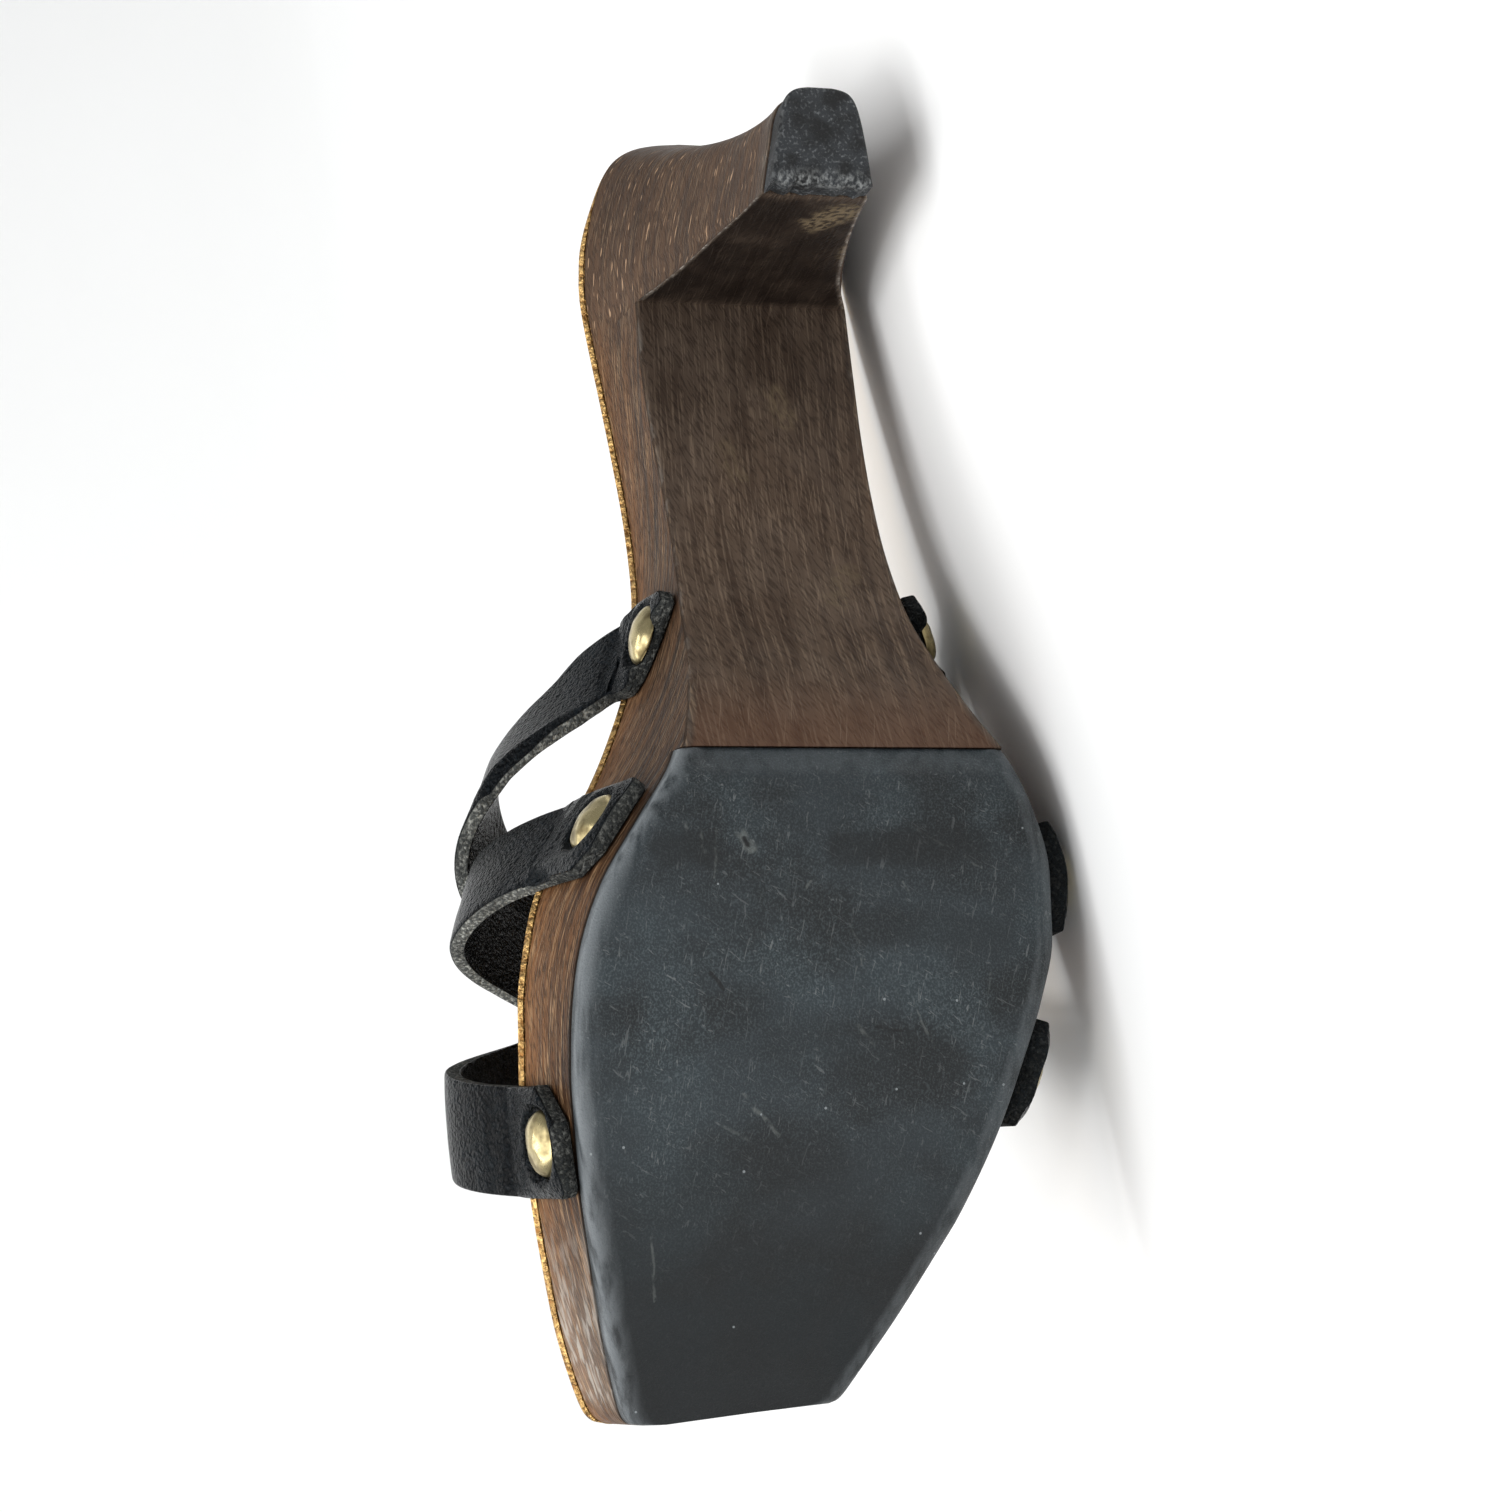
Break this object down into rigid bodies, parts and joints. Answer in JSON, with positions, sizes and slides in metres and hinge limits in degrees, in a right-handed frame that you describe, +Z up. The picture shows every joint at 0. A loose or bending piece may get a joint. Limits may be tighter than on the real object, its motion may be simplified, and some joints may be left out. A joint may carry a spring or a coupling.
{
  "type": "kitten heel mule",
  "caption": "Women's mule with a carved wooden sole and kitten heel, crossed leather straps held by brass studs, a rubber forefoot sole and heel top lift, lying on its outer side.",
  "frame": {"origin": "centre of the bounding box in X and Y, on the floor the shoe lies on", "axes": "+Z up from the floor, -X towards the toe, -Y the way the sole faces, inner side of the shoe up"},
  "size_m": [0.2314, 0.094, 0.1072],
  "materials": {
    "wooden_base": "dark brown stain, satin, rubbed",
    "insole": "metallic gold foil leather",
    "forefoot_outsole": "smooth black rubber, scuffed",
    "heel_top_lift": "worn black rubber",
    "strap_upper": "black leather with raw cut edges",
    "brass_stud": "antique brass, dented"
  },
  "bodies": {
    "root": {"forefoot_outsole": "forefoot_outsole", "heel_top_lift": "heel_top_lift", "insole": "insole", "strap_upper": "strap_upper", "stud_lateral_front": "brass_stud", "stud_lateral_middle": "brass_stud", "stud_lateral_rear": "brass_stud", "stud_medial_front": "brass_stud", "stud_medial_middle": "brass_stud", "stud_medial_rear": "brass_stud", "wooden_base": "wooden_base"}
  },
  "joints": []
}
